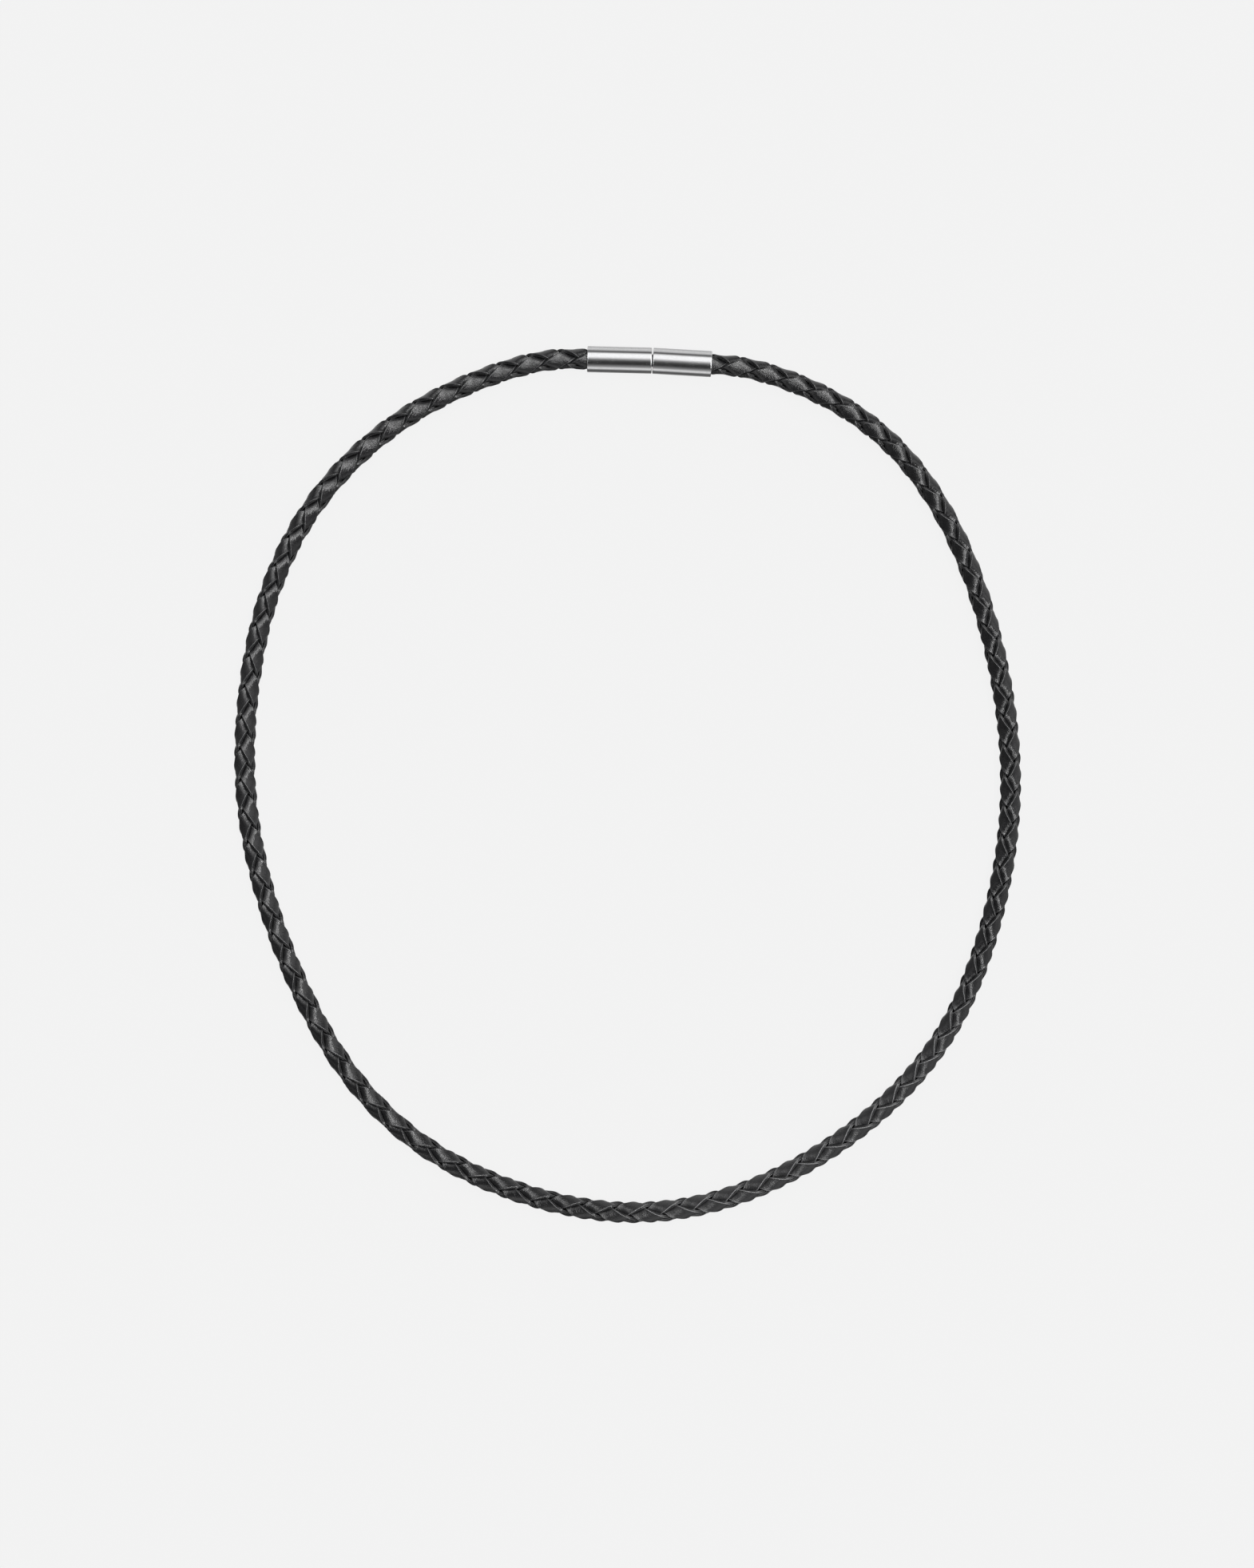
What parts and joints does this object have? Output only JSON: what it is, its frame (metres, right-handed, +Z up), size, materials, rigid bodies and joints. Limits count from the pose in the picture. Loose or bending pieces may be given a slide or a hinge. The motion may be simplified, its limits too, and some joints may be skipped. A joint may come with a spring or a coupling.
{
  "type": "leather cord necklace",
  "caption": "Round braided black leather cord necklace, closed into one loop by a small polished steel barrel clasp.",
  "frame": {"origin": "on the surface that the necklace lies on, under the middle of the loop", "axes": "+Z up, +Y from the loop's middle to the clasp, +X to the clasp's right-hand side seen from above"},
  "size_m": [0.1525, 0.1699, 0.005],
  "materials": {
    "lace_leather": "satin, fine grain",
    "clasp_steel": "polished stainless steel"
  },
  "bodies": {
    "root": {"lace_1": "lace_leather", "lace_2": "lace_leather", "lace_3": "lace_leather", "lace_4": "lace_leather", "clasp_socket": "clasp_steel", "clasp_plug": "clasp_steel"}
  },
  "joints": []
}
